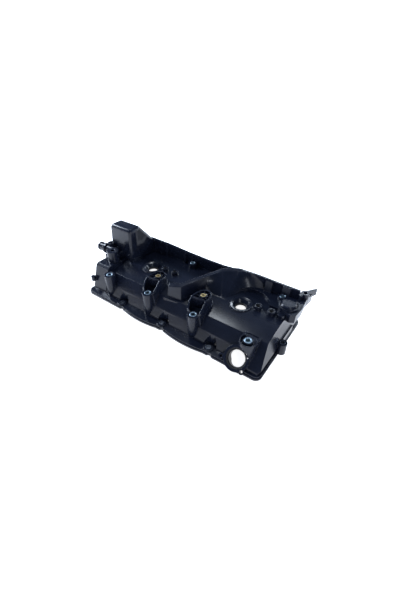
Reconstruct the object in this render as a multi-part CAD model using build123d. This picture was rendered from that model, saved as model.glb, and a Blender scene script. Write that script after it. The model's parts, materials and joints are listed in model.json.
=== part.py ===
"""Cylinder head cover for one bank of a V engine, with its seals, sleeves, inserts, baffles and valves.

Units are millimetres and +Z is up. While drawing, X runs from the flange's left edge and Y from its front
edge. Every solid is moved on export, so that the origin lies at the middle of the front row of bolt columns,
in the gasket's lower face.
"""
import os

from build123d import *

os.makedirs("parts", exist_ok=True)

# ---- driving dimensions -------------------------------------------------------------------------
COLUMN_PITCH = 90.0
COLUMN_X = [45.0 + COLUMN_PITCH * k for k in range(4)]
COLUMN_Y = 19.0
COLUMN_TOP = 46.3
COLUMN_R = 9.3
END_COLUMN_R = 12.0
SLEEVE_R = 5.4
BOLT_R = 3.4
TUBE_R = 7.0
SLEEVE_FOOT = [0.0, 0.0, 0.0, 26.5]

LENGTH = 346.0
DEPTH = 147.0
FLANGE_BOTTOM = 1.0
FLANGE_STEP = 4.0
FLANGE_TOP = 7.0
GASKET_HALF = 1.25
GROOVE_TOP = 4.0

WELL_X = [90.0, 270.0]
WELL_Y = 80.0
WELL_TOP = 47.9
WELL_BOTTOM = 37.5
WELL_THROAT_R = 9.6
WELL_THROAT_TOP = 41.5
WELL_SEAL_R = 7.9

FLANGE_BOLT_X = [80.0 + COLUMN_PITCH * k for k in range(3)]
FLANGE_BOLT_Y = 8.0
FLANGE_SEAT = 8.5
NICHE_R = 11.5
REAR_BOLT_Y = 141.0
REAR_SEAT = 9.0
LIMITER_R = 4.2
LIMITER_BORE_R = 3.2

BACK_SLEEVES = [(146.0, 124.0, 53.5), (316.5, 124.0, 54.5)]
BACK_SLEEVE_R = 4.6
BACK_BORE_R = 3.3
EAR_X, EAR_Y, EAR_BOTTOM, EAR_TOP, EAR_R = 347.5, 65.0, 4.0, 23.0, 6.8
CUPS = [(115.5, 84.5), (136.5, 85.0), (295.5, 85.0), (316.5, 85.0)]
CUP_TOP = 52.3
CUP_BORE_R = 4.0

INSERT_DX, INSERT_DY, INSERT_TOP, INSERT_R, INSERT_BORE_R = -4.0, 31.0, 60.0, 3.9, 2.6

PORT_CENTRE = (306.0, 7.0, 16.0)
PORT_TILT = 40.0
PORT_R = 12.0
PORT_MOUTH_R = 15.0
PORT_COLLAR_R = 19.0
PORT_DEPTH = 12.0
PORT_SCREWS = [(-21.6, -6.2), (13.6, -13.2)]
PORT_SCREW_R = 2.1

OUTLET_Y, OUTLET_Z, OUTLET_R = 63.0, 61.5, 7.4

VALVE_X, VALVE_Y = 333.0, 107.0
VALVE_FLOOR = 45.0
VALVE_BORE_R = 13.0
VALVE_HOUSING_R = 15.2
VALVE_HOUSING_TOP = 57.5

WALL_TOP = 36.13
FRONT_CUT, REAR_CUT, MIDDLE_CUT = 36.07, 124.11, 170.03
BRACKET_CUTS = {"left_bracket": (110.07, 155.93), "right_bracket": (203.57, 246.07)}
BRACKET_BACK = 69.53

ORIGIN_X = COLUMN_X[0] + 1.5 * COLUMN_PITCH
ORIGIN_Y = COLUMN_Y


# ---- small helpers ------------------------------------------------------------------------------
UP = (Align.CENTER, Align.CENTER, Align.MIN)


def cyl(x, y, z0, z1, r):
    """Upright cylinder from z0 to z1."""
    return Pos(x, y, z0) * Cylinder(r, z1 - z0, align=UP)


def cone(x, y, z0, z1, r0, r1):
    """Upright cone frustum, r0 at z0 and r1 at z1."""
    return Pos(x, y, z0) * Cone(r0, r1, z1 - z0, align=UP)


def ring(x, y, z0, z1, outer, inner):
    """Upright tube."""
    return cyl(x, y, z0, z1, outer) - cyl(x, y, z0 - 1, z1 + 1, inner)


def block(x0, x1, y0, y1, z0, z1):
    """Box between two corners."""
    return Pos(x0, y0, z0) * Box(x1 - x0, y1 - y0, z1 - z0, align=(Align.MIN, Align.MIN, Align.MIN))


def plan(points, z0, z1):
    """Prism on a plan polygon."""
    face = make_face(Polyline(*[(x, y, z0) for x, y in points], close=True))
    return extrude(face, amount=z1 - z0, dir=(0, 0, 1))


def along_x(points, x0, x1):
    """Prism on a (Y, Z) section."""
    face = make_face(Polyline(*[(x0, y, z) for y, z in points], close=True))
    return extrude(face, amount=x1 - x0, dir=(1, 0, 0))


def along_y(points, y0, y1):
    """Prism on an (X, Z) section."""
    face = make_face(Polyline(*[(x, y0, z) for x, z in points], close=True))
    return extrude(face, amount=y1 - y0, dir=(0, 1, 0))


def rounded(x0, x1, y0, y1, z0, z1, r):
    """Box with rounded upright edges."""
    return fillet(block(x0, x1, y0, y1, z0, z1).edges().filter_by(Axis.Z), r)


def lofted(outline, z0, upper, z1):
    """Solid between two plan outlines, each a list of straight or curved runs of points."""
    faces = []
    for runs, z in ((outline, z0), (upper, z1)):
        edges = []
        for run in runs:
            points = [(x, y, z) for x, y in run]
            edges.append(Line(*points) if len(points) == 2 else Spline(*points))
        faces.append(make_face(edges))
    return loft(faces, ruled=True)


def port_place():
    """The port's face: local X along the cover, local Z out of the port."""
    return Pos(*PORT_CENTRE) * Rot(90 - PORT_TILT, 0, 0)


# ---- sections and outlines ----------------------------------------------------------------------
OUTER_SECTION = [(11, 5), (12, 9), (20, 24), (33, 41.7), (52, 45.2), (72, 46.8), (110, 46.8), (128, 44.5),
                 (134.5, 44.5), (134.5, 5)]
INNER_SECTION = [(15, 0), (16, 9), (23, 22.6), (34.6, 38.4), (52, 42), (72, 43.7), (110, 43.7), (127, 41.4),
                 (131.2, 41.4), (131.2, 0)]
OUTER_ENDS = [(2.5, 5), (2.5, 45), (4, 60), (337, 60), (338, 42), (343.5, 13), (340.5, 10), (340.5, 5)]
INNER_ENDS = [(5.8, 0), (5.8, 44), (7, 60), (333.8, 60), (334.8, 41.4), (340, 13.4), (337.2, 10.8), (337.2, 0)]
LEFT_SECTION = [(10.5, 5), (11.5, 9), (17, 24), (26, 48), (30, 51), (60, 51), (60, 30), (30, 5)]
RIGHT_SECTION = [(4.2, 5), (4.8, 9), (18, 25), (33, 41.7), (40, 30), (16, 5)]

# the hood between the two wells, as runs of straight or curved wall
HOOD_FOOT = [[(163, 34), (187, 38)], [(187, 38), (207, 76)], [(207, 76), (241.5, 68.7)],
             [(241.5, 68.7), (243.7, 69.3), (244.6, 71.5)], [(244.6, 71.5), (250, 90), (256, 106), (268, 119)],
             [(268, 119), (278, 124.5), (290, 127)], [(290, 127), (290, 133)],
             [(290, 133), (230, 133)], [(230, 133), (221, 127)], [(221, 127), (210, 116)], [(210, 116), (196, 84)],
             [(196, 84), (176.5, 49.5)], [(176.5, 49.5), (160, 42)], [(160, 42), (163, 34)]]
HOOD_TOP = [[(165, 37), (183, 44.5)], [(183, 44.5), (203.5, 82)], [(203.5, 82), (216, 112)],
            [(216, 112), (225, 121.5), (238, 128)], [(238, 128), (244, 129.6), (250, 130.8), (258, 131.8)],
            [(258, 131.8), (264, 132.3), (270, 132.6)], [(270, 132.6), (270, 133)],
            [(270, 133), (234, 133)], [(234, 133), (222, 127)], [(222, 127), (211, 116)], [(211, 116), (198, 84)],
            [(198, 84), (178.5, 49.5)], [(178.5, 49.5), (162, 42)], [(162, 42), (165, 37)]]
HOLLOW_FOOT = [[(207, 80.5), (238.5, 73)], [(238.5, 73), (246, 92), (252, 108), (263, 120.5), (270, 125)],
               [(270, 125), (270, 129.5)], [(270, 129.5), (234, 129.5)], [(234, 129.5), (224, 124)],
               [(224, 124), (213, 112.5)], [(213, 112.5), (203, 89)], [(203, 89), (207, 80.5)]]
HOLLOW_TOP = [[(203.5, 91), (212.5, 112)], [(212.5, 112), (216, 117), (222, 122), (230, 126), (234, 127.3)],
              [(234, 127.3), (234, 129.5)], [(234, 129.5), (226, 129.5)], [(226, 129.5), (220, 126)],
              [(220, 126), (211, 115)], [(211, 115), (202.5, 92)], [(202.5, 92), (203.5, 91)]]

BRACKET_RIM = [(-9.2, 0), (-14.5, 4.5), (-17.6, 12), (-17.8, 20), (-16.8, 31), (-13.5, 40), (-6.5, 45.5),
               (1.8, 44), (7.8, 36), (9.2, 22), (9.2, 0)]
BRACKET_FOOT = [(-9.3, 0), (-16, 4.5), (-20, 12), (-21, 20), (-20.5, 32), (-17, 43), (-9, 50), (3.2, 49),
                (12.2, 38), (14.8, 21), (13.8, 2)]
FRONT_WELL = [(-6.9, 2), (-12.4, 6), (-15.4, 12.5), (-15.6, 18.6), (6.4, 20.8), (7.2, 19.8), (7.2, 2)]
BACK_WELL = [(-15.7, 20.4), (-14.7, 30.2), (-12, 38.4), (-6, 43.3), (0.8, 42), (5.8, 35), (6.9, 22.4)]


def plan_at(points, x):
    """Bracket outline moved to its column."""
    return [(x + dx, COLUMN_Y + dy) for dx, dy in points]


def hood():
    """Hood whose foot is a bay round the right well and whose top is a narrow ridge."""
    ridge = [(28, 30), (28, 58), (36, 60.5), (44.5, 64), (82, 69), (112, 69.6), (136, 70), (136, 30)]
    return lofted(HOOD_FOOT, 42.0, HOOD_TOP, 71.0) & along_x(ridge, 150, 300)


def hood_hollow():
    return lofted(HOLLOW_FOOT, 38.0, HOLLOW_TOP, 66.5)


def tall_box():
    """Breather chamber that stands on the roof's left rear corner."""
    body = along_x([(72.5, 50), (76, 105.6), (101, 105.6), (133, 68.5), (134.5, 66), (134.5, 50)], -9, 48)
    body &= along_y([(-8.5, 45), (-5, 106), (48, 106), (48, 45)], 60, 140)
    body = fillet(body.edges().filter_by(lambda e: e.center().Z > 53 and e.center().Y < 130), 6.5)
    return body + block(5, 48, 72.9, 134.5, 40, 52)


def tall_box_hollow():
    chamber = along_x([(76, 53), (79, 102.4), (99.6, 102.4), (131, 66), (131, 53)], -1.8, 44.6)
    return chamber + block(12.5, 44.6, 76, 131, 35, 54)


def flange():
    """Stepped flange whose front edge bulges between the bolts."""
    body = rounded(-1.5, LENGTH, -1.2, DEPTH, FLANGE_BOTTOM, FLANGE_STEP, 10)
    body += rounded(-0.3, LENGTH - 1.2, 0.2, DEPTH - 1.2, FLANGE_BOTTOM, FLANGE_TOP, 9)
    for x0, x1, bulge in ((91, 166, 4.0), (181, 256, 3.8)):
        mid = 0.5 * (x0 + x1)
        arc = ThreePointArc((x0, -0.8, 0), (mid, -1.0 - bulge, 0), (x1, -0.8, 0))
        face = make_face(arc + Polyline((x1, -0.8, 0), (x1, 9, 0), (x0, 9, 0), (x0, -0.8, 0)))
        body += Pos(0, 0, FLANGE_BOTTOM) * extrude(face, amount=FLANGE_STEP - FLANGE_BOTTOM)
        body += Pos(0, 1.2, FLANGE_BOTTOM) * extrude(face, amount=FLANGE_TOP - FLANGE_BOTTOM)
    for x in FLANGE_BOLT_X:
        body -= cyl(x + 6.5, -3.0, -5, 20, 4.2)
    return body


def gasket_band(z0, z1, half):
    """Closed band that winds between the flange bolts and the columns, with a gap at the port."""
    front = [(8, 12)]
    for k in range(3):
        front += [(COLUMN_X[k], 9.6), (FLANGE_BOLT_X[k], 14.4)]
    front += [(279, 12.5)]
    sides = []
    for shift in (-half, half):
        sides.append([(x, y + shift) for x, y in front])
    face = make_face([Spline(*[(x, y, z0) for x, y in sides[0]]), Line((*sides[0][-1], z0), (*sides[1][-1], z0)),
                      Spline(*[(x, y, z0) for x, y in sides[1]]), Line((*sides[1][0], z0), (*sides[0][0], z0))])
    band = extrude(face, amount=z1 - z0, dir=(0, 0, 1))
    outer = rounded(7 - half, 339 + half, 12 - half, 135.2 + half, z0, z1, 6)
    inner = rounded(7 + half, 339 - half, 12 + half, 135.2 - half, z0 - 1, z1 + 1, 4)
    band += outer - inner - block(13, 326, 5, 20, z0 - 1, z1 + 1)
    return band + block(7 - half, 14, 12 - half, 12 + half, z0, z1)


# ---- features on the shell ----------------------------------------------------------------------
def bracket(x):
    """Pocketed bracket that rises behind a middle column and carries a brass insert."""
    foot = [(px, py, 20) for px, py in plan_at(BRACKET_FOOT, x)]
    rim = [(px, py, 60.5) for px, py in plan_at(BRACKET_RIM, x)]
    body = loft([make_face(Polyline(*foot, close=True)), make_face(Polyline(*rim, close=True))], ruled=True)
    y = COLUMN_Y
    wedge = [(y - 5, 46.3), (y + 5, 47.5), (y + 20, 60.5), (y + 20, 70), (y - 5, 70)]
    return body - along_x(wedge, x - 40, x + 40)


def bracket_pockets(x):
    """Open pockets in a bracket, around the sleeve and around the insert's ribbed boss."""
    cx, cy = x + INSERT_DX, COLUMN_Y + INSERT_DY
    back = plan(plan_at(BACK_WELL, x), 48.5, 70) - cyl(cx, cy, 40, INSERT_TOP, 6.0)
    for k in range(4):
        back -= Pos(cx, cy, 53) * Rot(0, 0, 22.5 + 45 * k) * Box(60, 1.3, 12)
    front = plan(plan_at(FRONT_WELL, x), 37, 70) - cyl(x, COLUMN_Y, 20, COLUMN_TOP, 7.4)
    rising_floor = along_x([(28, 30), (28, 35.4), (41, 43.7), (41, 30)], x - 25, x + 25)
    return back + (front - rising_floor)


def back_wall():
    """Parapet along the rear edge, with ribs and two buttresses."""
    heights = [(4, 69), (44, 69.5), (85, 69), (132, 66), (176, 64.5), (206, 64.5), (226, 66.5), (238, 69.6),
               (271, 70.3), (305, 69.2), (338, 68.8), (338, 40), (4, 40)]
    body = along_y(heights, 131.0, 134.5)
    for x, half in ((51.5, 1.8), (67, 1.0), (81.5, 2.4), (125, 1.6), (141, 1.3)):
        top = 62.5 if x > 100 else 67.0
        body += along_x([(131.5, 44), (127, 44), (129.5, top), (131.5, top)], x - half, x + half)
    for x0, x1, top in ((284, 296, 68), (312.5, 325, 68.5)):
        body += along_x([(131.5, 45), (124.5, 45), (129, top), (131.5, top)], x0, x1)
    return body


def left_end():
    """Steep shoulder, bosses and breather outlet between the tall box and the left end wall."""
    body = along_x(LEFT_SECTION, 2.5, 34) + block(2.5, 60, 56, 133, 38, 50.2)
    body -= cyl(90, 84, 30, 70, 61)
    body += along_x(LEFT_SECTION, 2.5, 27)
    body += cyl(22, 52, 40, 71, 10.5)
    body += block(4, 24, 48, 74, 40, 59)
    stub = Cylinder(OUTLET_R, 34, align=UP) + Cylinder(OUTLET_R + 0.9, 3, align=UP)
    stub += Pos(0, 0, 14) * Cylinder(9.6, 5, align=UP)
    body += Pos(-24, OUTLET_Y, OUTLET_Z) * Rot(0, 90, 0) * stub
    body += cyl(-2, 70, 50, 72, 6.0) + block(-6, 12, 64, 76, 50, 66)
    return body + cyl(3.2, 13.5, 21, 30, 3.8) + block(1.5, 6, 13, 22, 21, 28)


def right_end():
    """Valve housing, rear bracket and ear at the right end."""
    body = cyl(VALVE_X, VALVE_Y, 40, VALVE_HOUSING_TOP, VALVE_HOUSING_R)
    deck = [(322, 113), (330, 92), (343, 87), (350, 91), (352, 112), (349.5, 134), (352, 154), (343, 147),
            (322, 134)]
    body += plan(deck, 42, 55.5)
    body += plan([(334, 134), (340, 128), (355, 163), (350, 158)], 50, 62)
    body += cyl(344, 141, 42, 62, 6.5)
    body += cyl(331, 87, 38, 52, 5.5)
    body += cyl(EAR_X, EAR_Y, EAR_BOTTOM, EAR_TOP, EAR_R)
    body += block(339, EAR_X, EAR_Y - 4, EAR_Y + 4, EAR_BOTTOM, 17)
    return body + block(339, 344.5, EAR_Y + 6, 112, FLANGE_TOP - 1, 19)


def port_collar():
    """Tilted port collar with two screw ears and a lower lip."""
    place = port_place()
    down = (Align.CENTER, Align.CENTER, Align.MAX)
    body = place * Cylinder(PORT_COLLAR_R, 14, align=down)
    for a, b in PORT_SCREWS:
        body += place * Pos(a, b, 0) * Cylinder(4.4, PORT_DEPTH, align=down)
    body += place * Pos(-11, -3, -7) * Rot(0, 0, 16) * Box(20, 7, 10)
    return body + place * Pos(2, -PORT_COLLAR_R + 1, -5) * Box(16, 4, 6)


def port_bore():
    """Clears the mouth, the bore and the room in front of the collar."""
    place = port_place()
    body = place * Pos(0, 0, -3) * Cylinder(PORT_MOUTH_R, 40, align=UP)
    body += place * Pos(0, 0, 0.01) * Cylinder(PORT_COLLAR_R + 0.4, 30, align=UP)
    return body + place * Pos(0, 0, -40) * Cylinder(PORT_R, 50, align=UP)


def well_solid(x):
    return cone(x, WELL_Y, WELL_BOTTOM, 44, 13, 18) + cone(x, WELL_Y, 44, WELL_TOP, 18.8, 17.8)


def well_void(x):
    body = cone(x, WELL_Y, WELL_THROAT_TOP, 46.4, WELL_THROAT_R, 13)
    body += cone(x, WELL_Y, 46.4, WELL_TOP, 13, 17)
    return body + cyl(x, WELL_Y, WELL_BOTTOM - 5, WELL_THROAT_TOP, WELL_THROAT_R)


# ---- the shell ----------------------------------------------------------------------------------
def cover_shell():
    ends = along_y(OUTER_ENDS, 0, 140)
    shell = along_x(OUTER_SECTION, 2, 345) & ends
    shell += along_x(RIGHT_SECTION, 322, 345) & ends
    shell += flange()
    shell += hood()
    shell += plan([(158, 29), (184, 31.5), (193, 38), (193, 46), (170, 42)], 30, 41.5)
    shell += tall_box()
    shell += back_wall()
    shell += block(232, 322, 98, 133, 40, 50.5) - cyl(277, 88, 30, 60, 32)
    shell += left_end()
    shell += right_end()
    for x in COLUMN_X[:3]:
        shell += cyl(x, COLUMN_Y, 5, COLUMN_TOP, COLUMN_R)
    for x in COLUMN_X[1:3]:
        shell += bracket(x)
    shell += cyl(COLUMN_X[3], COLUMN_Y, 5, COLUMN_TOP, END_COLUMN_R)
    shell += block(302, 327, 22, 36, 30, 43)
    shell += port_collar()
    shell += cyl(42, 76, 44, 59, 5.5)
    for x, y in CUPS:
        shell += cone(x, y, 40, CUP_TOP, 7.0, 5.8)
    for x, y, top in BACK_SLEEVES:
        shell += cyl(x, y, 40, top, 7.5) + block(x - 2, x + 2, y, 132, 40, top - 1)

    shell -= along_x(INNER_SECTION, 2, 345) & along_y(INNER_ENDS, -1, 140)
    shell -= hood_hollow()
    shell -= tall_box_hollow()

    for x in WELL_X:
        shell += well_solid(x)
        shell -= well_void(x)
    slope = along_x([(6, 1), (6, 6.5), (12.4, 6.5), (13, 9), (21.4, 24.2), (26, 24.2), (26, 1)], 0, 345)
    for x in FLANGE_BOLT_X:
        shell -= cyl(x, FLANGE_BOLT_Y, FLANGE_TOP, 60, NICHE_R)
        shell += ring(x, FLANGE_BOLT_Y, FLANGE_BOTTOM, 26, NICHE_R + 2.5, NICHE_R) & slope
        shell += cyl(x, FLANGE_BOLT_Y, FLANGE_BOTTOM, FLANGE_SEAT, 7.5)
        shell += cyl(x, REAR_BOLT_Y, FLANGE_BOTTOM, REAR_SEAT, 7.0)
        shell += block(x - 18, x + 18, 8, 18, FLANGE_BOTTOM, FLANGE_TOP)
    for x in COLUMN_X:
        r = COLUMN_R if x < 300 else END_COLUMN_R
        shell += cyl(x, COLUMN_Y, 22, 43, r)
        shell -= cyl(x, COLUMN_Y, FLANGE_TOP, 22, r - 2.2)
    for x in COLUMN_X[1:3]:
        shell -= bracket_pockets(x)
    shell -= ring(COLUMN_X[3], COLUMN_Y, 41.5, 60, 10.6, 7.0)
    shell -= plan([(307.5, 25), (322.5, 25), (323.5, 36), (306.5, 36)], 41.5, 60)
    shell -= port_bore()
    for x, foot in zip(COLUMN_X, SLEEVE_FOOT):
        shell += cyl(x, COLUMN_Y, foot + FLANGE_BOTTOM, 30, TUBE_R)
        shell -= cyl(x, COLUMN_Y, -1, 60, SLEEVE_R)
    shell -= block(-60, 400, -60, 200, -60, FLANGE_BOTTOM)
    for a, b in PORT_SCREWS:
        shell -= port_place() * Pos(a, b, -9) * Cylinder(PORT_SCREW_R, 12, align=UP)

    shell -= cyl(22, 52, 59, 72, 3.1)
    shell -= Pos(-25, OUTLET_Y, OUTLET_Z) * Rot(0, 90, 0) * Cylinder(5.0, 24, align=UP)
    shell -= block(-4, 5, 74, 84, 56, 66) & cyl(0, OUTLET_Y + 16, 50, 70, 4.5)
    shell -= cyl(-2, 70, 66, 74, 2.6)
    shell -= cyl(344, 141, 50, 64, 3.0)
    shell -= cyl(EAR_X, EAR_Y, -1, 30, LIMITER_R)
    for x, y in CUPS:
        shell -= cyl(x, y, 30, 60, CUP_BORE_R)
    for x in FLANGE_BOLT_X:
        shell -= cyl(x, FLANGE_BOLT_Y, -1, 12, LIMITER_R)
        shell -= cyl(x, REAR_BOLT_Y, -1, 12, LIMITER_R)
    for x, y, top in BACK_SLEEVES:
        shell -= cyl(x, y, 30, 60, BACK_SLEEVE_R)
    for x in COLUMN_X[1:3]:
        shell -= cyl(x + INSERT_DX, COLUMN_Y + INSERT_DY, INSERT_TOP - 9.5, 62, INSERT_R)
    shell -= cyl(VALVE_X, VALVE_Y, VALVE_FLOOR, 62, VALVE_BORE_R)
    shell -= cyl(VALVE_X, VALVE_Y, 38, 60, 6.0)
    shell -= gasket_band(-1, GROOVE_TOP, GASKET_HALF)
    return max(shell.solids(), key=lambda s: s.volume)


def split_cover(shell):
    """The one moulding as a roof, four walls and two brackets, so that the cam space stays open."""
    low = shell & block(-100, 500, -100, 300, -10, WALL_TOP)
    high = shell & block(-100, 500, -100, 300, WALL_TOP, 200)
    sides = low & block(-100, 500, FRONT_CUT, REAR_CUT, -10, WALL_TOP)
    pieces = {"cover_front_wall": low & block(-100, 500, -100, FRONT_CUT, -10, WALL_TOP),
              "cover_rear_wall": low & block(-100, 500, REAR_CUT, 300, -10, WALL_TOP),
              "cover_left_wall": sides & block(-100, MIDDLE_CUT, FRONT_CUT, REAR_CUT, -10, WALL_TOP),
              "cover_right_wall": sides & block(MIDDLE_CUT, 500, FRONT_CUT, REAR_CUT, -10, WALL_TOP)}
    for name, (x0, x1) in BRACKET_CUTS.items():
        region = block(x0, x1, -100, BRACKET_BACK, WALL_TOP, 200)
        pieces[name] = high & region
        high -= region
    roof, column_top = sorted(high.solids(), key=lambda s: -s.volume)
    pieces["cover_roof"] = roof
    pieces["cover_front_wall"] += column_top
    return pieces


# ---- seals, sleeves and inserts -----------------------------------------------------------------
def injector_seal(x):
    """Rubber lip pressed into a well's throat."""
    body = ring(x, WELL_Y, WELL_BOTTOM + 0.5, WELL_THROAT_TOP, WELL_THROAT_R, WELL_SEAL_R)
    return body - cone(x, WELL_Y, WELL_THROAT_TOP - 1.2, WELL_THROAT_TOP + 0.01, WELL_SEAL_R, WELL_THROAT_R - 0.3)


def grommet(x, y):
    """Rubber grommet in a small boss, with a funnel mouth."""
    body = ring(x, y, CUP_TOP - 7.5, CUP_TOP - 0.8, CUP_BORE_R, 2.2)
    return body - cone(x, y, CUP_TOP - 3.2, CUP_TOP - 0.79, 2.2, 3.6)


def steel_sleeve(x, y, z0, z1, outer, inner):
    """Compression sleeve with small chamfers at both ends."""
    body = ring(x, y, z0, z1, outer, inner)
    return chamfer(body.edges().filter_by(GeomType.CIRCLE), 0.35)


def brass_insert(x):
    """Knurled insert, the knurl as grooves round its upper collar."""
    cx, cy = x + INSERT_DX, COLUMN_Y + INSERT_DY
    body = ring(cx, cy, INSERT_TOP - 9.5, INSERT_TOP + 0.4, INSERT_R, INSERT_BORE_R)
    for z in (INSERT_TOP - 6.5, INSERT_TOP - 3.5):
        body -= ring(cx, cy, z, z + 1.0, INSERT_R + 1, INSERT_R - 0.5)
    return body


def port_seal():
    """Rubber ring in the port's mouth."""
    tube = Cylinder(PORT_MOUTH_R, 2.2, align=UP) - Pos(0, 0, -1) * Cylinder(PORT_MOUTH_R - 2, 5, align=UP)
    return port_place() * Pos(0, 0, -3) * tube


# ---- baffles and valves -------------------------------------------------------------------------
DRAIN_STEM_R = 2.15
DRAIN_HOLE_R = 2.2
DRAINS = {"left": (24.0, 112.0, 43.0, 2.0), "mid": (232.0, 112.0, 45.0, 2.0)}


def breather_baffle():
    """Plate that closes the tall chamber from below, with a labyrinth wall on top and oil slots."""
    x, y, z, t = DRAINS["left"]
    body = block(12.5, 44.6, 76, 131, z, z + t)
    body += block(12.5, 36, 94, 95.6, z + t, z + 18)
    body += block(22, 44.6, 104, 105.6, z + t, z + 14)
    for k in range(4):
        body -= block(16 + 7 * k, 19.5 + 7 * k, 79, 90, z - 1, z + t + 1)
    return body - cyl(x, y, z - 1, z + t + 1, DRAIN_HOLE_R)


def separator_baffle():
    """Plate that closes the hood from below."""
    x, y, z, t = DRAINS["mid"]
    slab = block(140, 300, 30, 140, z, z + t)
    body = hood_hollow() & slab
    for k in range(4):
        body -= block(213 + 6 * k, 216 + 6 * k, 86, 98, z - 1, z + t + 1)
    return body - cyl(x, y, z - 1, z + t + 1, DRAIN_HOLE_R)


def drain_valve(name):
    """Rubber mushroom that hangs open under its plate and is drawn up to close."""
    x, y, z, t = DRAINS[name]
    body = cyl(x, y, z - 2.5, z - 1.5, 5.0) + cone(x, y, z - 3.1, z - 2.5, 3.5, 5.0)
    body += cyl(x, y, z - 2.0, z + t + 0.5, DRAIN_STEM_R)
    return body + cone(x, y, z + t + 0.3, z + t + 1.8, 3.3, 1.6)


def valve_seat():
    """Seat with a nozzle ring, a spoked stem guide and the wall that the diaphragm is clamped on."""
    z = VALVE_FLOOR
    body = ring(VALVE_X, VALVE_Y, z, z + 1.5, VALVE_BORE_R, 6.0)
    body += ring(VALVE_X, VALVE_Y, z, z + 3.5, 7.4, 6.4)
    body += ring(VALVE_X, VALVE_Y, z, z + 7.3, VALVE_BORE_R, VALVE_BORE_R - 1.5)
    for k in range(3):
        body += Pos(VALVE_X, VALVE_Y, z + 0.75) * Rot(0, 0, 120 * k) * Pos(4.5, 0, 0) * Box(5, 1.2, 1.5)
    body += cyl(VALVE_X, VALVE_Y, z, z + 2.4, 3.4)
    return body - cyl(VALVE_X, VALVE_Y, z - 1, z + 4, 2.06)


def valve_plate():
    """Moving plate and stem."""
    z = VALVE_FLOOR + 5.0
    body = cyl(VALVE_X, VALVE_Y, z, z + 1.5, 8.6) + cyl(VALVE_X, VALVE_Y, z - 5.8, z, 2.0)
    return body - cyl(VALVE_X, VALVE_Y, z + 0.8, z + 2, 5.0)


def valve_spring():
    """Coil between the seat and the plate, two and a half turns with flat ends left out."""
    z0, z1, r, wire = VALVE_FLOOR + 1.95, VALVE_FLOOR + 4.25, 4.9, 0.4
    path = Pos(VALVE_X, VALVE_Y, z0) * Helix(pitch=(z1 - z0) / 2.5, height=z1 - z0, radius=r)
    start = path @ 0
    section = Plane(origin=start, z_dir=path % 0) * Circle(wire)
    return sweep(section, path=path)


def valve_diaphragm():
    """Thin rubber disc with a rolled bead, clamped under the cap."""
    z = VALVE_FLOOR + 7.3
    body = ring(VALVE_X, VALVE_Y, z, z + 0.6, VALVE_BORE_R, 4.0)
    return body + ring(VALVE_X, VALVE_Y, z + 0.3, z + 1.3, 10.8, 9.4)


def valve_cap():
    """Domed round cap that closes the valve housing."""
    z = VALVE_FLOOR + 7.9
    body = cyl(VALVE_X, VALVE_Y, z, z + 2.6, VALVE_BORE_R) + cyl(VALVE_X, VALVE_Y, z, z + 4.6, 12.0)
    body += cone(VALVE_X, VALVE_Y, z + 4.6, z + 7.1, 12.0, 9.9)
    body -= cyl(VALVE_X, VALVE_Y, z - 1, z + 5.0, 11.2)
    return body


# ---- export -------------------------------------------------------------------------------------
parts = split_cover(cover_shell())
parts["cover_gasket"] = gasket_band(0, GROOVE_TOP, GASKET_HALF)
for k, (x, foot) in enumerate(zip(COLUMN_X, SLEEVE_FOOT), 1):
    parts[f"column_sleeve_{k}"] = steel_sleeve(x, COLUMN_Y, foot, COLUMN_TOP + 0.3, SLEEVE_R, BOLT_R)
for k, x in enumerate(FLANGE_BOLT_X, 1):
    parts[f"front_limiter_{k}"] = ring(x, FLANGE_BOLT_Y, 0, FLANGE_SEAT + 0.3, LIMITER_R, LIMITER_BORE_R)
    parts[f"rear_limiter_{k}"] = ring(x, REAR_BOLT_Y, 0, REAR_SEAT + 0.3, LIMITER_R, LIMITER_BORE_R)
parts["ear_limiter"] = ring(EAR_X, EAR_Y, EAR_BOTTOM, EAR_TOP + 0.3, LIMITER_R, LIMITER_BORE_R)
for k, (x, y, top) in enumerate(BACK_SLEEVES, 1):
    parts[f"back_sleeve_{k}"] = steel_sleeve(x, y, 40.0, top + 0.3, BACK_SLEEVE_R, BACK_BORE_R)
for k, x in enumerate(COLUMN_X[1:3], 1):
    parts[f"bracket_insert_{k}"] = brass_insert(x)
for k, x in enumerate(WELL_X, 1):
    parts[f"injector_seal_{k}"] = injector_seal(x)
for k, (x, y) in enumerate(CUPS, 1):
    parts[f"lead_grommet_{k}"] = grommet(x, y)
parts["port_seal"] = port_seal()
parts["breather_baffle"] = breather_baffle()
parts["separator_baffle"] = separator_baffle()
parts["drain_valve_left"] = drain_valve("left")
parts["drain_valve_mid"] = drain_valve("mid")
parts["valve_seat"] = valve_seat()
parts["valve_plate"] = valve_plate()
parts["valve_spring"] = valve_spring()
parts["valve_diaphragm"] = valve_diaphragm()
parts["valve_cap"] = valve_cap()

for name, shape in parts.items():
    moved = Pos(-ORIGIN_X, -ORIGIN_Y, 0) * shape
    moved.label = name
    export_step(moved, f"parts/{name}.step")
    print(name, "solids", len(moved.solids()), "volume", round(moved.volume, 1))
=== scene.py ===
import json
import math

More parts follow.
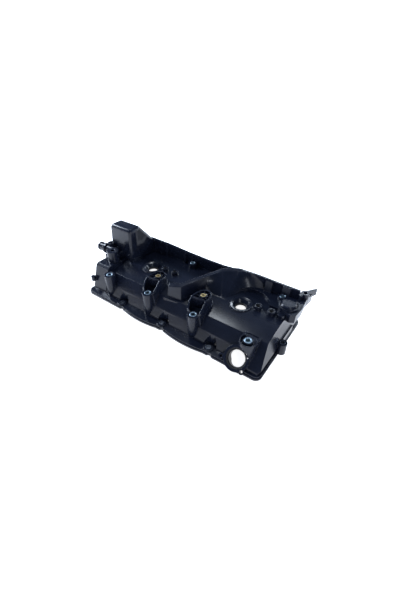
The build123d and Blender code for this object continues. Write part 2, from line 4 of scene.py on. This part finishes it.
import bmesh
import bpy
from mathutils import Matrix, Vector


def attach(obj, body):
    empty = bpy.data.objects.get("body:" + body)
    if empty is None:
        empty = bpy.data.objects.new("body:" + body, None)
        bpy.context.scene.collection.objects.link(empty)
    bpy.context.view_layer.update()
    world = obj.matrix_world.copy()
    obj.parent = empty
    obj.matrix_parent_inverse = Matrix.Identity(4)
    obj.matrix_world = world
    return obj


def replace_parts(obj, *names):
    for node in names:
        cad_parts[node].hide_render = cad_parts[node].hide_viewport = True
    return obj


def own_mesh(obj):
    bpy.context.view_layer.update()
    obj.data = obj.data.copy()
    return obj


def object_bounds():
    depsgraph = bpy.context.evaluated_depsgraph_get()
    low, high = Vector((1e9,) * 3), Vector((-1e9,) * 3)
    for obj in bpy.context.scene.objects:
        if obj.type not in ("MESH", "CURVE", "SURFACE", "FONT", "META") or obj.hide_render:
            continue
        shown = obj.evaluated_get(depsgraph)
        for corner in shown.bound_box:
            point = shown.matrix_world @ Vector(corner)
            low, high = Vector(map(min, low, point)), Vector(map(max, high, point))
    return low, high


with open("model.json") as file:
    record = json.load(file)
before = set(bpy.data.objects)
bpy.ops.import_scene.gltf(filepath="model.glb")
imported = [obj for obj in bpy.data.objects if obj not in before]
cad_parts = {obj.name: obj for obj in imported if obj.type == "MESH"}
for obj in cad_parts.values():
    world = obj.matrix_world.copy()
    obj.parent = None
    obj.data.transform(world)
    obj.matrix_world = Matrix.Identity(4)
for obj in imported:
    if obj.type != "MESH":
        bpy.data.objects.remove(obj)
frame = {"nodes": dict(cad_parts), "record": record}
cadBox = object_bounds()
nodes = frame["nodes"]
mm = 0.001

print("frame loaded:", len(nodes), "nodes")


# sockets that add and multiply like numbers
class Sock:
    def __init__(self, mat, link):
        self.mat = mat
        self.link = link

    def maths(self, operation, first, second):
        return self.mat.node("ShaderNodeMath", {"operation": operation}, {0: first, 1: second})["Value"]

    def __add__(self, other):
        return self.maths("ADD", self, other)

    def __radd__(self, other):
        return self.maths("ADD", other, self)

    def __mul__(self, other):
        return self.maths("MULTIPLY", self, other)

    def __rmul__(self, other):
        return self.maths("MULTIPLY", other, self)


class Mat:
    def __init__(self, name):
        self.material = bpy.data.materials.new(name)
        self.material.use_nodes = True
        self.tree = self.material.node_tree
        self.shader = self.tree.nodes["Principled BSDF"]

    def node(self, kind, settings=None, values=None):
        made = self.tree.nodes.new(kind)
        for key, value in (settings or {}).items():
            setattr(made, key, value)
        for key, value in (values or {}).items():
            if isinstance(value, Sock):
                self.tree.links.new(value.link, made.inputs[key])
            else:
                made.inputs[key].default_value = value
        return {out.name: Sock(self, out) for out in made.outputs if out.enabled}

    def place(self, scale=(1.0, 1.0, 1.0)):
        coords = self.node("ShaderNodeTexCoord")["Object"]
        return self.node("ShaderNodeMapping", None, {"Vector": coords, "Scale": scale})["Vector"]

    def noise(self, scale, detail=3.0, rough=0.55, stretch=(1.0, 1.0, 1.0)):
        values = {"Vector": self.place(stretch), "Scale": scale, "Detail": detail, "Roughness": rough}
        return self.node("ShaderNodeTexNoise", None, values)["Fac"]

    def blend(self, factor, first, second):
        made = self.tree.nodes.new("ShaderNodeMix")
        made.data_type = "RGBA"
        for slot, value in ((0, factor), (6, first), (7, second)):
            if isinstance(value, Sock):
                self.tree.links.new(value.link, made.inputs[slot])
            else:
                made.inputs[slot].default_value = value if slot == 0 else (*value, 1.0)
        return Sock(self, made.outputs[2])

    def bevelled(self, radius):
        return self.node("ShaderNodeBevel", {"samples": 6}, {"Radius": radius})["Normal"]

    def bump(self, height, strength, distance, normal=None):
        values = {"Height": height, "Strength": strength, "Distance": distance}
        if normal:
            values["Normal"] = normal
        return self.node("ShaderNodeBump", None, values)["Normal"]

    def plug(self, **sockets):
        names = {"color": "Base Color", "rough": "Roughness", "metal": "Metallic", "normal": "Normal",
                 "ior": "IOR", "specular": "Specular IOR Level"}
        for key, value in sockets.items():
            socket = self.shader.inputs[names[key]]
            if isinstance(value, Sock):
                self.tree.links.new(value.link, socket)
            else:
                socket.default_value = (*value, 1.0) if key == "color" else value
        return self.material


# finishes, one per slot of the record
plasticLook = {
    "deep": (0.0035, 0.0048, 0.01),
    "pale": (0.009, 0.012, 0.024),
    "grainScale": 2600.0,
    "grainHeight": 0.00004,
    "flowScale": 26.0,
    "roughLow": 0.13,
    "roughHigh": 0.3,
    "edgeRadius": 0.9 * mm,
    "ior": 1.36,
}


def mouldedPlastic(name, look, edgeRadius=None):
    m = Mat(name)
    flow = m.noise(look["flowScale"], 4.0, 0.6, (1.0, 2.2, 2.2))
    grain = m.noise(look["grainScale"], 2.0, 0.5)
    cells = {"Vector": m.place(), "Scale": 900.0}
    pits = m.node("ShaderNodeTexVoronoi", {"feature": "F1"}, cells)["Distance"]
    smear = m.noise(9.0, 3.0, 0.5)
    color = m.blend(flow, look["deep"], look["pale"])
    rough = look["roughLow"] + (look["roughHigh"] - look["roughLow"]) * (flow * 0.6 + smear * 0.4)
    rough = rough + grain * 0.05
    rounded = m.bevelled(edgeRadius or look["edgeRadius"])
    fine = m.bump(grain * 0.6 + pits * 0.4, 0.35, look["grainHeight"], rounded)
    waves = m.bump(m.noise(42.0, 2.0, 0.5), 0.22, 0.0004, fine)
    return m.plug(color=color, rough=rough, normal=waves, ior=look["ior"])


def platedSteel(name, tint, turned=5200.0):
    m = Mat(name)
    rings = m.noise(turned, 2.0, 0.6, (0.02, 0.02, 1.0))
    stain = m.noise(300.0, 4.0, 0.6)
    color = m.blend(stain, tuple(0.78 * c for c in tint), tint)
    rough = 0.24 + rings * 0.1 + stain * 0.12
    normal = m.bump(rings, 0.3, 0.00003, m.bevelled(0.25 * mm))
    return m.plug(color=color, rough=rough, metal=1.0, normal=normal)


def machinedBrass(name):
    m = Mat(name)
    rings = m.noise(4200.0, 2.0, 0.6, (0.05, 0.05, 1.0))
    tarnish = m.noise(420.0, 4.0, 0.6)
    color = m.blend(tarnish, (0.62, 0.42, 0.14), (0.92, 0.76, 0.42))
    rough = 0.22 + rings * 0.1 + tarnish * 0.15
    normal = m.bump(rings, 0.3, 0.00004, m.bevelled(0.25 * mm))
    return m.plug(color=color, rough=rough, metal=1.0, normal=normal)


def softRubber(name, deep, pale):
    m = Mat(name)
    bloom = m.noise(160.0, 5.0, 0.65)
    grain = m.noise(3800.0, 2.0, 0.5)
    color = m.blend(bloom, deep, pale)
    rough = 0.55 + bloom * 0.2 + grain * 0.08
    normal = m.bump(grain, 0.4, 0.00004, m.bevelled(0.3 * mm))
    return m.plug(color=color, rough=rough, normal=normal)


shellPlastic = mouldedPlastic("shellPlastic", plasticLook)
capPlastic = mouldedPlastic("capPlastic", plasticLook, 0.5 * mm)
baffleTint = {"deep": (0.012, 0.012, 0.014), "pale": (0.03, 0.03, 0.034)}
baffleLook = {**plasticLook, **baffleTint, "roughLow": 0.45, "roughHigh": 0.65}
bafflePlastic = mouldedPlastic("bafflePlastic", baffleLook, 0.4 * mm)
valveLook = {**baffleLook, "deep": (0.22, 0.21, 0.19), "pale": (0.34, 0.33, 0.3)}
valvePlastic = mouldedPlastic("valvePlastic", valveLook, 0.3 * mm)
sleeveSteel = platedSteel("sleeveSteel", (0.36, 0.47, 0.55))
limiterSteel = platedSteel("limiterSteel", (0.12, 0.14, 0.18))
springSteel = platedSteel("springSteel", (0.6, 0.6, 0.58))
insertBrass = machinedBrass("insertBrass")
gasketRubber = softRubber("gasketRubber", (0.03, 0.02, 0.016), (0.06, 0.045, 0.035))
sealRubber = softRubber("sealRubber", (0.008, 0.008, 0.009), (0.02, 0.02, 0.022))
valveRubber = softRubber("valveRubber", (0.16, 0.045, 0.02), (0.26, 0.08, 0.035))

finishOf = {
    "shell_plastic": shellPlastic,
    "cap_plastic": capPlastic,
    "baffle_plastic": bafflePlastic,
    "valve_plastic": valvePlastic,
    "sleeve_steel": sleeveSteel,
    "limiter_steel": limiterSteel,
    "spring_steel": springSteel,
    "insert_brass": insertBrass,
    "gasket_rubber": gasketRubber,
    "seal_rubber": sealRubber,
    "valve_rubber": valveRubber,
}
for part in frame["record"]["subparts"]:
    mesh = nodes[part["node"]].data
    mesh.materials.clear()
    mesh.materials.append(finishOf[part["material_slot"]])
print("materials on", len(nodes), "nodes")


def newPiece(name, bm, finish, body):
    mesh = bpy.data.meshes.new(name)
    bm.to_mesh(mesh)
    bm.free()
    piece = bpy.data.objects.new(name, mesh)
    bpy.context.scene.collection.objects.link(piece)
    mesh.materials.append(finish)
    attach(piece, body)
    return piece


coverLook = {
    "regions": ["cover_roof", "cover_front_wall", "cover_rear_wall", "cover_left_wall", "cover_right_wall",
                "left_bracket", "right_bracket"],
    "seams": {0: (-69.93, -24.07, -9.97, 23.57, 66.07), 1: (17.07, 50.53, 105.11), 2: (36.13,)},
    "seamReach": 0.012,
    "weld": 0.02,
    "seamWeld": 0.12,
    "smoothAngle": 32.0,
}


def onSeam(face):
    # true where a face lies in one of the planes between two regions
    for axis, places in coverLook["seams"].items():
        for place in places:
            if all(abs(v.co[axis] / mm - place) < coverLook["seamReach"] for v in face.verts):
                return True
    return False


def smoothCover():
    # the moulding, its regions joined and welded so that its curved walls shade as one surface
    bm = bmesh.new()
    for region in coverLook["regions"]:
        bm.from_mesh(nodes[region].data)
    bmesh.ops.remove_doubles(bm, verts=bm.verts[:], dist=coverLook["weld"] * mm)
    bmesh.ops.delete(bm, geom=[face for face in bm.faces if onSeam(face)], context="FACES")
    rims = [v for v in bm.verts if v.is_boundary]
    bmesh.ops.remove_doubles(bm, verts=rims, dist=coverLook["seamWeld"] * mm)
    for face in bm.faces:
        face.smooth = True
    limit = math.radians(coverLook["smoothAngle"])
    for edge in bm.edges:
        edge.smooth = edge.is_manifold and edge.calc_face_angle(0.0) < limit
    piece = newPiece("coverMoulding", bm, shellPlastic, "cover")
    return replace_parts(piece, *coverLook["regions"])


springLook = {"weld": 0.01, "travel": 1.3, "room": 0.08}


def reliefCoil():
    # the relief valve's coil, welded and shaded smooth as a mesh of its own; nothing here shortens it as
    # the plate comes down
    bm = bmesh.new()
    bm.from_mesh(nodes["valve_spring"].data)
    bmesh.ops.remove_doubles(bm, verts=bm.verts[:], dist=springLook["weld"] * mm)
    for face in bm.faces:
        face.smooth = True
    piece = newPiece("reliefCoil", bm, springSteel, "cover")
    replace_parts(piece, "valve_spring")
    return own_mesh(piece)


smoothCover()
reliefCoil()
print("cover moulding and coil made")


# floor, lights and camera
stageLook = {
    "tint": (0.96, 0.97, 1.0),
    "glow": 0.93,
    "wallStart": 4.0,
    "bend": 3.0,
    "bendDegrees": 60.0,
    "worldTint": (0.42, 0.6, 1.0),
    "worldLight": 0.22,
}
# name: place, size across, size up, power, tint
softboxes = {
    "keySoftbox": ((-0.33, 0.37, 0.97), 0.1, 0.1, 1.7, (0.86, 0.93, 1.0)),
    "rearStrip": ((0.15, 1.25, 0.62), 1.6, 0.16, 22.0, (0.78, 0.88, 1.0)),
    "leftStrip": ((-1.1, 0.0, 0.5), 0.3, 0.9, 24.0, (0.76, 0.86, 1.0)),
    "frontSoftbox": ((0.95, -0.6, 0.5), 0.12, 0.9, 3.6, (0.88, 0.93, 1.0)),
}


def paleFloor():
    # round floor that curves up at its rim, spun from one line
    bm = bmesh.new()
    start, bend, steps = stageLook["wallStart"], stageLook["bend"], 10
    line = [(start * k / 4, 0.0, 0.0) for k in range(5)]
    for k in range(1, steps + 1):
        angle = math.radians(stageLook["bendDegrees"]) * k / steps
        line.append((start + bend * math.sin(angle), 0.0, bend * (1.0 - math.cos(angle))))
    verts = [bm.verts.new(point) for point in line]
    edges = [bm.edges.new(pair) for pair in zip(verts, verts[1:])]
    bmesh.ops.spin(bm, geom=verts + edges, cent=(0, 0, 0), axis=(0, 0, 1), angle=2 * math.pi, steps=64)
    bmesh.ops.remove_doubles(bm, verts=bm.verts[:], dist=0.001)
    bmesh.ops.recalc_face_normals(bm, faces=bm.faces[:])
    bmesh.ops.translate(bm, verts=bm.verts[:], vec=(0, 0, cadBox[0][2] - 0.0002))
    mesh = bpy.data.meshes.new("floor")
    bm.to_mesh(mesh)
    bm.free()
    for face in mesh.polygons:
        face.use_smooth = True
    floor = bpy.data.objects.new("floor", mesh)
    bpy.context.scene.collection.objects.link(floor)
    m = Mat("paleFloor")
    grain = m.noise(40.0, 3.0, 0.5)
    tint = stageLook["tint"]
    color = m.blend(grain, tuple(0.985 * c for c in tint), tint)
    m.shader.inputs["Emission Color"].default_value = (1.0, 1.0, 1.0, 1.0)
    m.shader.inputs["Emission Strength"].default_value = stageLook["glow"]
    mesh.materials.append(m.plug(color=color, rough=0.9, specular=0.1))


def softLight(name, place, across, up, power, tint):
    lamp = bpy.data.lights.new(name, "AREA")
    lamp.shape = "RECTANGLE"
    lamp.size = across
    lamp.size_y = up
    lamp.energy = power
    lamp.color = tint
    holder = bpy.data.objects.new(name, lamp)
    bpy.context.scene.collection.objects.link(holder)
    holder.location = place
    aim = Vector((0.0, 0.05, 0.04))
    holder.rotation_euler = (aim - Vector(place)).to_track_quat("-Z", "Y").to_euler()


def studio():
    world = bpy.data.worlds.new("studio")
    bpy.context.scene.world = world
    world.use_nodes = True
    back = world.node_tree.nodes["Background"]
    back.inputs["Color"].default_value = (*stageLook["worldTint"], 1.0)
    back.inputs["Strength"].default_value = stageLook["worldLight"]
    for name, values in softboxes.items():
        softLight(name, *values)


def studioCamera():
    camera = bpy.data.cameras.new("camera")
    camera.lens = 17.97
    camera.sensor_width = 36.0
    camera.clip_start = 0.01
    holder = bpy.data.objects.new("camera", camera)
    bpy.context.scene.collection.objects.link(holder)
    holder.location = (0.24539, -0.26143, 0.33115)
    holder.rotation_euler = (math.radians(51.757), 0.0, math.radians(35.614))
    bpy.context.scene.camera = holder


paleFloor()
studio()
studioCamera()
bpy.context.scene.view_settings.view_transform = "Standard"
print("studio ready")
